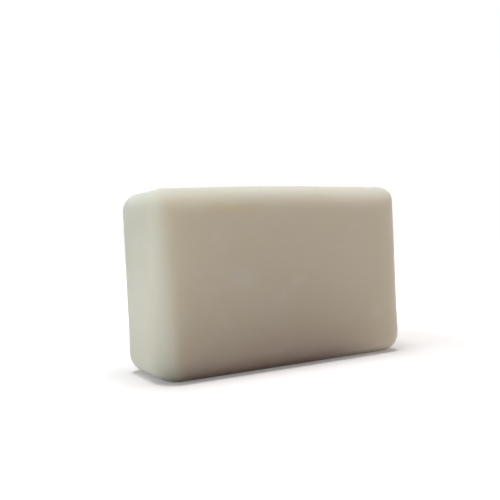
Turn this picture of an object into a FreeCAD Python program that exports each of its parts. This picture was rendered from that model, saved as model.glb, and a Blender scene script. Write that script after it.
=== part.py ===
import FreeCAD, Part
import os

# A bar of solid shampoo, moulded as one piece and standing on its long narrow side.
# Sizes are in millimetres. X runs along the bar, Y from its front face to its back face, Z up.
# The origin is the centre of the flat underside.

node_name = "shampoo_bar"

length = 80.0             # from one end face to the other
thickness = 29.0          # from the front face to the back face
end_height = 51.0         # from the underside to the top, where the top meets the end faces
crown_rise = 0.5          # how much higher the top is at the middle of its length
edge_radius = 5.0         # the soft rounding of every edge and of the two upper end corners
lower_corner_extra = 1.0  # how much rounder the two lower end corners are

lower_corner_radius = edge_radius + lower_corner_extra


def sharp_block():
    # The front outline, with the top as one shallow arc, pushed through to the back face.
    left, right, front = -length / 2, length / 2, -thickness / 2
    base_left = FreeCAD.Vector(left, front, 0)
    base_right = FreeCAD.Vector(right, front, 0)
    top_right = FreeCAD.Vector(right, front, end_height)
    top_middle = FreeCAD.Vector(0, front, end_height + crown_rise)
    top_left = FreeCAD.Vector(left, front, end_height)
    outline = Part.Wire([
        Part.LineSegment(base_left, base_right).toShape(),
        Part.LineSegment(base_right, top_right).toShape(),
        Part.Arc(top_right, top_middle, top_left).toShape(),
        Part.LineSegment(top_left, base_left).toShape(),
    ])
    return Part.Face(outline).extrude(FreeCAD.Vector(0, thickness, 0))


def is_lower_corner(edge):
    # A lower corner edge goes straight from front to back, in the lower half of the bar.
    box = edge.BoundBox
    goes_through = box.YLength > thickness / 2
    return goes_through and box.ZMax < end_height / 2


def shampoo_bar():
    block = sharp_block()
    lower_corners = [edge for edge in block.Edges if is_lower_corner(edge)]
    block = block.makeFillet(lower_corner_radius, lower_corners)
    # The rounded corners leave only smooth seams in the lower half, which stay as they are.
    sharp_edges = [edge for edge in block.Edges if not is_lower_corner(edge)]
    return block.makeFillet(edge_radius, sharp_edges)


os.makedirs("parts", exist_ok=True)
bar = shampoo_bar()
bar.exportStep(f"parts/{node_name}.step")
box = bar.BoundBox
print(f"{node_name}: {box.XLength:.2f} x {box.YLength:.2f} x {box.ZLength:.2f} mm, {bar.Volume / 1000:.2f} cm3,",
      f"{len(bar.Solids)} solid, valid {bar.isValid()}")
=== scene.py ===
import math
import bmesh
import bpy
import numpy as np
from mathutils import Matrix, Vector, noise


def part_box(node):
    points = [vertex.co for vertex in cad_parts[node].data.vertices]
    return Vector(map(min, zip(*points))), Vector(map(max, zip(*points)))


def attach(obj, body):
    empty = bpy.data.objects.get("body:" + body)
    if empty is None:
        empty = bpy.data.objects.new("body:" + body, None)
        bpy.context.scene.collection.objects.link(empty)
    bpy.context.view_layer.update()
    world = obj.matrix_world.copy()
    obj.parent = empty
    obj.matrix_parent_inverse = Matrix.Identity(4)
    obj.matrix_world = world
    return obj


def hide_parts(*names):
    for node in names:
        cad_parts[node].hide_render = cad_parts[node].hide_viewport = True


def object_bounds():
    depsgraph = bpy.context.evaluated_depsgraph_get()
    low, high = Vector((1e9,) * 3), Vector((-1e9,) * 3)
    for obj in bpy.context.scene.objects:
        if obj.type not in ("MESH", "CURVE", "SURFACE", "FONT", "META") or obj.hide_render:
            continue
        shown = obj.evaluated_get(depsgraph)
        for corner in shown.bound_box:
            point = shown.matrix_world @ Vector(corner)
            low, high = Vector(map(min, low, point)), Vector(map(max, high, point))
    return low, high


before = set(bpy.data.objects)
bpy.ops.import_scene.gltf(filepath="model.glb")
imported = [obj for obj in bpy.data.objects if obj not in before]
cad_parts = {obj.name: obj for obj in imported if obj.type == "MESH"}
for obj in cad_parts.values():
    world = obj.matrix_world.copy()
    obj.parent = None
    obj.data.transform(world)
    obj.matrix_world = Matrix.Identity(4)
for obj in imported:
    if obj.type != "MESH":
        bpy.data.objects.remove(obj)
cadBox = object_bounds()
mm = 0.001
print("stage 1: the packed bar is loaded,", [round(side / mm, 1) for side in cadBox[1] - cadBox[0]], "mm")


def hexToLinear(code):
    # sRGB hex to the linear values that a shader socket takes
    channels = [int(code[i:i + 2], 16) / 255 for i in (1, 3, 5)]
    return [c / 12.92 if c <= 0.04045 else ((c + 0.055) / 1.055) ** 2.4 for c in channels] + [1.0]


def addNode(tree, kind, settings, links=None):
    # settings are properties, or input sockets by name or number; links lead from an input socket
    # to a node and its output socket
    node = tree.nodes.new(kind)
    for name, value in settings.items():
        if isinstance(name, str) and hasattr(node, name):
            setattr(node, name, value)
        else:
            node.inputs[name].default_value = value
    for name, (source, output) in (links or {}).items():
        tree.links.new(source.outputs[output], node.inputs[name])
    return node


def newTree(block):
    block.use_nodes = True
    block.node_tree.nodes.clear()
    return block.node_tree


# The bar's shape is the CAD block, with edges that ease into the faces as pressed soap has.
barShape = {
    "edgeMm": 5.0,              # rounding of the edges along the front and the back
    "topFrontMm": 6.0,          # the edge along the top of the front is rounder, and not quite evenly so
    "topWaveMm": (70.0, -7.0, 0.5),   # length of that wave, where it is crispest, and by how much
    "topFrom": (1.4, 1.75),     # heights over which that edge takes over, in half heights
    "topStops": (0.97, 0.8),    # to the right it stops at the first and is whole by the second, both in
                                # half lengths from the middle
    "uprightMm": (7.7, 4.4, 4.7),     # the front left upright edge: at its foot, where crispest, at its top
    "uprightShare": 0.72,       # share of the height at which it is crispest
    "uprightFrom": (0.82, 0.97),      # how far left that edge takes over, in half lengths from the middle
    "upperLeftMm": 5.0,         # rounding of the end corners, which differ a little from one to the next
    "upperRightMm": 4.3,
    "lowerLeftMm": 5.5,
    "lowerRightMm": 5.8,
    "crownMm": 0.5,             # rise of the top at the middle of its length
    "waistMm": 0.06,            # how far the end faces draw in at half height, as soap does when it dries
    "easing": 2.4,              # 2 is a plain arc; more starts the rounding earlier and more softly
    "pillowMm": (0.35, 5.0),    # how far the front falls away at its top and left rims, and over what width
    "pillowStops": (0.97, 0.6), # where the fall at the top stops and is whole, as topStops gives it
    "meshStepMm": 0.75,         # side of the mesh's faces
    "coreMm": 7.5,              # depth of the inner block that the skin is pushed out from
    "furthestPush": 1.05,       # how far out the skin is looked for, 1 being the mesh grid's own box
    "pushHalvings": 30,         # times that stretch is halved to find it
    "slowWaveMm": (22.0, 0.06), # size across and height of the slow unevenness of the faces
    "fastWaveMm": (6.0, 0.012), # and of the finer one on top of it
    "waveShift": (3.1, 7.7, 5.3),     # slides the unevenness along, so that no face starts at its zero
    "flatFootMm": 3.0,          # the unevenness fades in over this height above the underside
    "edgeSheenMm": 4.0,            # width of the paler band painted along each edge: painted sheen, where the rounded edges catch the light
}


def easedRadius(radius):
    # A softer corner needs a longer radius to cut the corner by as much as a plain arc does.
    return radius * (1 - 0.5 ** 0.5) / (1 - 0.5 ** (1 / barShape["easing"]))


def roundTogether(a, b, radius):
    # How far outside two faces a point is, with the edge between them eased by the radius.
    power = barShape["easing"]
    u = np.maximum(a + radius, 0)
    v = np.maximum(b + radius, 0)
    return (u ** power + v ** power) ** (1 / power) - radius + np.minimum(np.maximum(a, b) + radius, 0)


def fade(values, start, end):
    # 0 before start, 1 after end, and a smooth step between them
    share = np.clip((values - start) / (end - start), 0, 1)
    return share * share * (3 - 2 * share)


def shortOfRight(x, half, stops):
    # 0 at the bar's right end, and 1 from further in; stops are given in half lengths
    gone, whole = stops
    return fade(-x, -gone * half.x, -whole * half.x)


def rimRadius(x, y, z, half):
    # Rounding in mm between the front or the back and the sides that meet it.
    length, crispAt, wave = barShape["topWaveMm"]
    alongTop = barShape["topFrontMm"] - wave * np.cos(2 * math.pi * (x / mm - crispAt) / length)
    upright = np.interp(z / (2 * half.z), [0, barShape["uprightShare"], 1], barShape["uprightMm"])
    topStart, topEnd = barShape["topFrom"]
    leftStart, leftEnd = barShape["uprightFrom"]
    nearTop = fade(z, topStart * half.z, topEnd * half.z) * shortOfRight(x, half, barShape["topStops"])
    nearLeft = fade(-x, leftStart * half.x, leftEnd * half.x)
    radius = barShape["edgeMm"] + (alongTop - barShape["edgeMm"]) * nearTop
    radius += (upright - radius) * nearLeft
    return np.where(y < 0, radius, barShape["edgeMm"])


def outsideBar(points, half):
    # Positive outside the bar and negative inside it; half is half of each side of the CAD box.
    x, y, z = points.T
    crown = barShape["crownMm"] * mm
    topRise = crown * (1 - (x / half.x) ** 2)
    sideTop = 2 * half.z - crown
    aboveTop = z - sideTop - topRise
    belowBase = -z
    fromWaist = ((z - half.z) / half.z) ** 2
    endFace = np.abs(x) - half.x + barShape["waistMm"] * mm * (1 - np.minimum(fromWaist, 1))
    upper = np.where(x < 0, easedRadius(barShape["upperLeftMm"]), easedRadius(barShape["upperRightMm"]))
    lower = np.where(x < 0, easedRadius(barShape["lowerLeftMm"]), easedRadius(barShape["lowerRightMm"]))
    corner = np.where(z > half.z, upper, lower) * mm
    outline = roundTogether(endFace, np.maximum(aboveTop, belowBase), corner)
    fall, width = (value * mm for value in barShape["pillowMm"])
    fallenLeft = np.exp(-(half.x + x) / width)
    fallenTop = np.exp(-(2 * half.z - z) / width) * shortOfRight(x, half, barShape["pillowStops"])
    faceSide = np.abs(y) - half.y + fall * (fallenLeft + fallenTop) * (y < 0)
    return roundTogether(outline, faceSide, easedRadius(rimRadius(x, y, z, half)) * mm)


def barGrid(half):
    # A closed box of small, nearly square faces, of the bar's own sides.
    grid = bmesh.new()
    bmesh.ops.create_cube(grid, size=1.0)
    sides = [2 * half.x, 2 * half.y, 2 * half.z]
    for axis, side in enumerate(sides):
        # the cube's edges that run along this axis
        along = [e for e in grid.edges if abs((e.verts[0].co - e.verts[1].co)[axis]) > 0.5]
        cuts = round(side / (barShape["meshStepMm"] * mm)) - 1
        bmesh.ops.subdivide_edges(grid, edges=along, cuts=cuts, use_grid_fill=True)
    for vertex in grid.verts:
        vertex.co = Vector([vertex.co[i] * sides[i] for i in range(3)]) + Vector((0, 0, half.z))
    return grid


def pushOntoSkin(points, half):
    # Each point moves along the line from the inner block through it until it meets the bar's skin.
    core = barShape["coreMm"] * mm
    centre = np.array([0, 0, half.z])
    reach = np.array([half.x - core, half.y - core, half.z - core])
    inner = np.clip(points - centre, -reach, reach) + centre
    ray = points - inner
    near = np.zeros(len(points))
    far = np.full(len(points), barShape["furthestPush"])
    for _ in range(barShape["pushHalvings"]):
        middle = (near + far) / 2
        outside = outsideBar(inner + ray * middle[:, None], half) > 0
        far = np.where(outside, middle, far)
        near = np.where(outside, near, middle)
    return inner + ray * ((near + far) / 2)[:, None]


def unevenness(point, shift):
    # Height of the slow and the finer wave at a point, in metres.
    height = 0
    for size, rise in (barShape["slowWaveMm"], barShape["fastWaveMm"]):
        height += noise.noise(point / (size * mm) + shift) * rise * mm
    return height


def nearEdge(points, half):
    # 1 along every edge and corner, fading to 0 on the flats.
    gaps = np.stack([half.x - np.abs(points[:, 0]), half.y - np.abs(points[:, 1]),
                     half.z - np.abs(points[:, 2] - half.z)])
    fromSecondFace = np.sort(gaps, axis=0)[1]
    return np.exp(-(fromSecondFace / (barShape["edgeSheenMm"] * mm)) ** 2)


def soapBar():
    low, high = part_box("shampoo_bar")
    half = (high - low) / 2
    grid = barGrid(half)
    points = pushOntoSkin(np.array([v.co for v in grid.verts]), half)
    for vertex, point in zip(grid.verts, points):
        vertex.co = point
    grid.normal_update()
    shift = Vector(barShape["waveShift"])
    flatFoot = barShape["flatFootMm"] * mm
    moves = []
    for vertex in grid.verts:
        footFade = min(1.0, max(0.0, vertex.co.z / flatFoot))
        moves.append(vertex.normal * unevenness(vertex.co, shift) * footFade)
    for vertex, move in zip(grid.verts, moves):
        vertex.co += move
        vertex.co.z = max(0.0, vertex.co.z)
    for face in grid.faces:
        face.smooth = True
    mesh = bpy.data.meshes.new("soapBar")
    grid.to_mesh(mesh)
    grid.free()
    # a band along every edge, which the material paints paler: painted sheen
    paintedEdgeSheen = mesh.attributes.new("paintedEdgeSheen", "FLOAT", "POINT")
    paintedEdgeSheen.data.foreach_set("value", nearEdge(points, half))
    bar = bpy.data.objects.new("soapBar", mesh)
    bpy.context.scene.collection.objects.link(bar)
    return bar


soapLook = {
    "ivory": "#dcd8c8",         # the body of the bar
    "cream": "#dbd6c4",         # clouds a shade yellower
    "cloudMm": 18.0,            # size across of the clouds
    "cloudNoise": {"Detail": 2.0, "Roughness": 0.45, "Distortion": 0.3},
    "cloudFrom": (0.35, 0.68),  # noise values over which ivory turns to cream
    "smearMm": 5.0,             # small whiter smears, where the mass was folded in on itself
    "smearNoise": {"Detail": 1.0, "Roughness": 0.4},
    "smearStretch": (0.6, 1.0, 1.0),  # they run longer along the bar
    "smearColour": "#e5e3d9",
    "smearCover": 0.7,          # higher leaves fewer of them
    "smearFade": (0.08, 0.12),  # how gradually they set in, below and above that
    "smearShare": 0.4,
    "marks": [
        # single marks on the front: x, z, half width, half height in mm, share, colour
        (-15.0, 26.5, 4.6, 3.0, 0.28, "#e0e3e2"),
        (2.0, 24.6, 2.2, 1.2, 0.26, "#e8e6de"),
        (-17.5, 45.2, 7.5, 1.8, 0.35, "#e0d2b0"),
    ],
    "markFrom": (1.5, 0.2),     # a mark sets in over these reaches from its middle, in half sizes
    "raggedMm": (3.5, 2.4),     # size of the ins and outs of a mark's outline, and how far they reach
    "raggedNoise": {"Detail": 2.0, "Roughness": 0.5},
    "edgeSheenColour": "#e2e2da",  # edges are painted a little paler and less yellow: painted sheen on the rounded edges
    "edgeSheenShare": 0.4,
    "scatterMm": (6.0, 6.0, 6.0),     # how far light of each colour spreads inside
    "roughness": 0.5,
    "roughnessSpread": 0.06,
    "ior": 1.36,
    "coatWeight": 0.05,         # the thin skin that pressing and handling polish
    "coatRoughness": 0.12,
    "grainMm": 0.8,             # the real grain is nearer 0.1 mm, drawn coarser so that it shows
    "grainNoise": {"Detail": 2.0, "Roughness": 0.6},
    "grainHeightMm": 0.012,
}


def soapMaterial():
    # Solid shampoo: waxy, cast or pressed in a smooth mould. Light sinks in and comes out softened,
    # the colour is faintly clouded, and the skin has a broad, dull sheen.
    material = bpy.data.materials.new("pressedSolidShampoo")
    tree = newTree(material)
    place = addNode(tree, "ShaderNodeTexCoord", {})
    # clouds of ivory and cream
    clouds = addNode(tree, "ShaderNodeTexNoise",
                     {"Scale": 1 / (soapLook["cloudMm"] * mm), **soapLook["cloudNoise"]},
                     {"Vector": (place, "Object")})
    cloudStart, cloudEnd = soapLook["cloudFrom"]
    cloudShare = addNode(tree, "ShaderNodeMapRange",
                         {"From Min": cloudStart, "From Max": cloudEnd, "interpolation_type": "SMOOTHSTEP"},
                         {"Value": (clouds, "Fac")})
    colour = addNode(tree, "ShaderNodeMix",
                     {"data_type": "RGBA", 6: hexToLinear(soapLook["ivory"]),
                      7: hexToLinear(soapLook["cream"])},
                     {0: (cloudShare, "Result")})
    # whiter smears
    stretch = addNode(tree, "ShaderNodeMapping", {"Scale": soapLook["smearStretch"]},
                      {"Vector": (place, "Object")})
    smears = addNode(tree, "ShaderNodeTexNoise",
                     {"Scale": 1 / (soapLook["smearMm"] * mm), **soapLook["smearNoise"]},
                     {"Vector": (stretch, "Vector")})
    fadeBelow, fadeAbove = soapLook["smearFade"]
    smearShare = addNode(tree, "ShaderNodeMapRange",
                         {"From Min": soapLook["smearCover"] - fadeBelow,
                          "From Max": soapLook["smearCover"] + fadeAbove,
                          "To Max": soapLook["smearShare"], "interpolation_type": "SMOOTHSTEP"},
                         {"Value": (smears, "Fac")})
    colour = addNode(tree, "ShaderNodeMix",
                     {"data_type": "RGBA", 7: hexToLinear(soapLook["smearColour"])},
                     {0: (smearShare, "Result"), 6: (colour, 2)})
    # painted sheen: every edge and corner a little paler
    paintedEdgeSheen = addNode(tree, "ShaderNodeAttribute", {"attribute_name": "paintedEdgeSheen"})
    edgeSheenShare = addNode(tree, "ShaderNodeMapRange", {"To Max": soapLook["edgeSheenShare"]},
                          {"Value": (paintedEdgeSheen, "Fac")})
    colour = addNode(tree, "ShaderNodeMix",
                     {"data_type": "RGBA", 7: hexToLinear(soapLook["edgeSheenColour"])},
                     {0: (edgeSheenShare, "Result"), 6: (colour, 2)})
    # single marks, with ragged outlines
    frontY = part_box("shampoo_bar")[0].y
    raggedSize, raggedReach = (value * mm for value in soapLook["raggedMm"])
    ragged = addNode(tree, "ShaderNodeTexNoise", {"Scale": 1 / raggedSize, **soapLook["raggedNoise"]},
                     {"Vector": (place, "Object")})
    shifted = addNode(tree, "ShaderNodeVectorMath",
                      {"operation": "MULTIPLY_ADD", 1: (2 * raggedReach,) * 3, 2: (-raggedReach,) * 3},
                      {0: (ragged, "Color")})
    loosePlace = addNode(tree, "ShaderNodeVectorMath", {"operation": "ADD"},
                         {0: (place, "Object"), 1: (shifted, 0)})
    markStart, markEnd = soapLook["markFrom"]
    for x, z, halfWidth, halfHeight, share, markColour in soapLook["marks"]:
        centre = (x * mm, frontY, z * mm)
        reach = (halfWidth * mm, halfHeight * mm, halfHeight * mm)
        fromMark = addNode(tree, "ShaderNodeVectorMath", {"operation": "SUBTRACT", 1: centre},
                           {0: (loosePlace, 0)})
        inMark = addNode(tree, "ShaderNodeVectorMath", {"operation": "DIVIDE", 1: reach},
                         {0: (fromMark, 0)})
        markReach = addNode(tree, "ShaderNodeVectorMath", {"operation": "LENGTH"}, {0: (inMark, 0)})
        markShare = addNode(tree, "ShaderNodeMapRange",
                            {"From Min": markStart, "From Max": markEnd, "To Max": share,
                             "interpolation_type": "SMOOTHSTEP"},
                            {"Value": (markReach, "Value")})
        colour = addNode(tree, "ShaderNodeMix", {"data_type": "RGBA", 7: hexToLinear(markColour)},
                         {0: (markShare, "Result"), 6: (colour, 2)})
    # fine grain, and a sheen that changes a little with the clouds
    grain = addNode(tree, "ShaderNodeTexNoise",
                    {"Scale": 1 / (soapLook["grainMm"] * mm), **soapLook["grainNoise"]},
                    {"Vector": (place, "Object")})
    bump = addNode(tree, "ShaderNodeBump", {"Distance": soapLook["grainHeightMm"] * mm},
                   {"Height": (grain, "Fac")})
    rough = addNode(tree, "ShaderNodeMapRange",
                    {"To Min": soapLook["roughness"] - soapLook["roughnessSpread"],
                     "To Max": soapLook["roughness"] + soapLook["roughnessSpread"]},
                    {"Value": (clouds, "Fac")})
    soap = addNode(tree, "ShaderNodeBsdfPrincipled",
                   {"IOR": soapLook["ior"], "Subsurface Weight": 1.0,
                    "Subsurface Radius": soapLook["scatterMm"], "Subsurface Scale": mm,
                    "Coat Weight": soapLook["coatWeight"], "Coat Roughness": soapLook["coatRoughness"]},
                   {"Base Color": (colour, 2), "Roughness": (rough, "Result"), "Normal": (bump, "Normal")})
    addNode(tree, "ShaderNodeOutputMaterial", {}, {"Surface": (soap, "BSDF")})
    return material


studio = {
    "floorHalfM": 3.0,
    "floorPaint": "#f4eff1",    # looks neutral under these lamps; seen by the camera and by reflections
    "whiteFromMm": 15.0,        # beyond this from the bar the floor starts to glow to a clean white
    "whiteByMm": 120.0,
    "whiteNear": 0.18,          # and this much of it is there even close to the bar
    "floorBounce": "#f0eee9",   # the floor for the light that it throws back onto the bar
    # A dark patch, as of a card lying in front, is painted into the floor's bounce colour. It is painted
    # shade, which takes the bounce off the foot of the bar. Only bounced light meets it.
    "shadeCardColour": "#2c1c10",
    "cardCentreMm": (-13.0, -24.0),
    "cardHalfMm": (41.0, 23.0),
    "cardSoftness": 0.4,        # width of the card's soft edge, as a share of its half sides
    "worldWhite": "#ffffff",
}


def seenOrMirrored(tree):
    # 1 where the camera, a reflection or a refraction looks, 0 for the light that bounces
    path = addNode(tree, "ShaderNodeLightPath", {})
    either = addNode(tree, "ShaderNodeMath", {"operation": "MAXIMUM"},
                     {0: (path, "Is Camera Ray"), 1: (path, "Is Glossy Ray")})
    return addNode(tree, "ShaderNodeMath", {"operation": "MAXIMUM"},
                   {0: (either, 0), 1: (path, "Is Transmission Ray")})


def distanceFromBar(tree, place, half):
    # How far a floor point is from the bar's footprint
    folded = addNode(tree, "ShaderNodeVectorMath", {"operation": "ABSOLUTE"}, {0: (place, "Position")})
    past = addNode(tree, "ShaderNodeVectorMath", {"operation": "SUBTRACT", 1: (half.x, half.y, 0)},
                   {0: (folded, 0)})
    clear = addNode(tree, "ShaderNodeVectorMath", {"operation": "MAXIMUM", 1: (0, 0, 0)}, {0: (past, 0)})
    return addNode(tree, "ShaderNodeVectorMath", {"operation": "LENGTH"}, {0: (clear, 0)})


def floorMaterial(half):
    # Matt painted board: no gloss, so it shows the bar's soft shadow and nothing else.
    material = bpy.data.materials.new("mattPaintedBoard")
    tree = newTree(material)
    place = addNode(tree, "ShaderNodeNewGeometry", {})
    # what the bar gets back from it, with the patch of painted shade in front
    cardX, cardY = (side * mm for side in studio["cardCentreMm"])
    halfX, halfY = (side * mm for side in studio["cardHalfMm"])
    fromCard = addNode(tree, "ShaderNodeVectorMath", {"operation": "SUBTRACT", 1: (cardX, cardY, 0)},
                       {0: (place, "Position")})
    onCard = addNode(tree, "ShaderNodeVectorMath", {"operation": "DIVIDE", 1: (halfX, halfY, 1)},
                     {0: (fromCard, 0)})
    cardReach = addNode(tree, "ShaderNodeVectorMath", {"operation": "LENGTH"}, {0: (onCard, 0)})
    offCard = addNode(tree, "ShaderNodeMapRange",
                      {"From Min": 1 - studio["cardSoftness"], "From Max": 1 + studio["cardSoftness"],
                       "interpolation_type": "SMOOTHSTEP"},
                      {"Value": (cardReach, "Value")})
    bounceColour = addNode(tree, "ShaderNodeMix",
                           {"data_type": "RGBA", 6: hexToLinear(studio["shadeCardColour"]),
                            7: hexToLinear(studio["floorBounce"])},
                           {0: (offCard, "Result")})
    bounce = addNode(tree, "ShaderNodeBsdfDiffuse", {}, {"Color": (bounceColour, 2)})
    # what is seen of it
    glow = addNode(tree, "ShaderNodeMapRange",
                   {"From Min": studio["whiteFromMm"] * mm, "From Max": studio["whiteByMm"] * mm,
                    "To Min": studio["whiteNear"], "interpolation_type": "SMOOTHSTEP"},
                   {"Value": (distanceFromBar(tree, place, half), "Value")})
    paint = addNode(tree, "ShaderNodeBsdfDiffuse", {"Color": hexToLinear(studio["floorPaint"])})
    light = addNode(tree, "ShaderNodeEmission", {}, {"Strength": (glow, "Result")})
    seenFloor = addNode(tree, "ShaderNodeAddShader", {}, {0: (paint, 0), 1: (light, 0)})
    mixed = addNode(tree, "ShaderNodeMixShader", {},
                    {0: (seenOrMirrored(tree), 0), 1: (bounce, 0), 2: (seenFloor, 0)})
    addNode(tree, "ShaderNodeOutputMaterial", {}, {"Surface": (mixed, 0)})
    return material


def paleFloor(half):
    reach = studio["floorHalfM"]
    corners = [(-reach, -reach, 0), (reach, -reach, 0), (reach, reach, 0), (-reach, reach, 0)]
    mesh = bpy.data.meshes.new("floor")
    mesh.from_pydata(corners, [], [(0, 1, 2, 3)])
    mesh.materials.append(floorMaterial(half))
    floor = bpy.data.objects.new("floor", mesh)
    bpy.context.scene.collection.objects.link(floor)


def studioWorld():
    # White where it is seen or mirrored; the lamps and their bounce alone light the bar.
    world = bpy.data.worlds.new("studio")
    bpy.context.scene.world = world
    tree = newTree(world)
    seen = addNode(tree, "ShaderNodeBackground", {"Color": hexToLinear(studio["worldWhite"])},
                   {"Strength": (seenOrMirrored(tree), 0)})
    addNode(tree, "ShaderNodeOutputWorld", {}, {"Surface": (seen, 0)})


lamps = {
    # name: the side it stands on (0 front, 90 left, 180 behind) and its height, both in degrees,
    # its distance and size in mm, watts, colour
    "skyLamp": (0, 90, 900, 500, 6.6, "#f6faf8"),
    "windowLamp": (75, 70, 900, 500, 1.4, "#f0fffa"),
    "lowWindowLamp": (90, 15, 900, 300, 1.5, "#dce4ff"),
    "roomLamp": (-40, 12, 900, 300, 1.65, "#ffd0c8"),
    "leftReflector": (65, -2, 105, 40, 0.0095, "#fcfcf0"),
    "backLamp": (180, 6, 900, 300, 0.9, "#ffe8dc"),
}


def softLamp(name, aim, side, height, distance, size, watts, colour):
    light = bpy.data.lights.new(name, "AREA")
    light.shape = "DISK"
    light.size = size * mm
    light.energy = watts
    light.color = hexToLinear(colour)[:3]
    lamp = bpy.data.objects.new(name, light)
    lamp.visible_camera = False
    lamp.visible_glossy = False     # no lamp glares on the soap; its sheen comes from the white room
    side = math.radians(side)
    height = math.radians(height)
    level = math.cos(height)
    direction = Vector((-math.sin(side) * level, -math.cos(side) * level, math.sin(height)))
    lamp.location = aim + direction * distance * mm
    lamp.rotation_euler = (aim - lamp.location).to_track_quat("-Z", "Y").to_euler()
    bpy.context.scene.collection.objects.link(lamp)


shot = {
    "standMm": (-97.5, -170.5, 37.0), # where the camera stands, from the middle of the bar's underside
    "headingDeg": 28.45,        # turned from +Y towards +X
    "tiltDeg": -1.05,           # looks down a little
    "rollDeg": 2.7,
    "lensMm": 47.3,
    "sensorMm": 36.0,
    "clipM": (0.01, 20),        # nearest and furthest that it sees
}


def shotCamera():
    data = bpy.data.cameras.new("camera")
    data.lens = shot["lensMm"]
    data.sensor_width = shot["sensorMm"]
    data.clip_start, data.clip_end = shot["clipM"]
    camera = bpy.data.objects.new("camera", data)
    turn = Matrix.Rotation(-math.radians(shot["headingDeg"]), 4, "Z")
    tilt = Matrix.Rotation(math.radians(90 + shot["tiltDeg"]), 4, "X")
    roll = Matrix.Rotation(-math.radians(shot["rollDeg"]), 4, "Z")
    camera.matrix_world = Matrix.Translation(Vector(shot["standMm"]) * mm) @ turn @ tilt @ roll
    bpy.context.scene.collection.objects.link(camera)
    bpy.context.scene.camera = camera


bar = soapBar()
bar.data.materials.append(soapMaterial())
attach(bar, "root")
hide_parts("shampoo_bar")
print("stage 2: the bar is modelled,", len(bar.data.polygons), "faces")

middle = (cadBox[0] + cadBox[1]) / 2
paleFloor((cadBox[1] - cadBox[0]) / 2)
studioWorld()
for name, placing in lamps.items():
    softLamp(name, middle, *placing)
shotCamera()
bpy.context.scene.view_settings.view_transform = "Standard"
print("stage 3: floor, light and camera are in place")
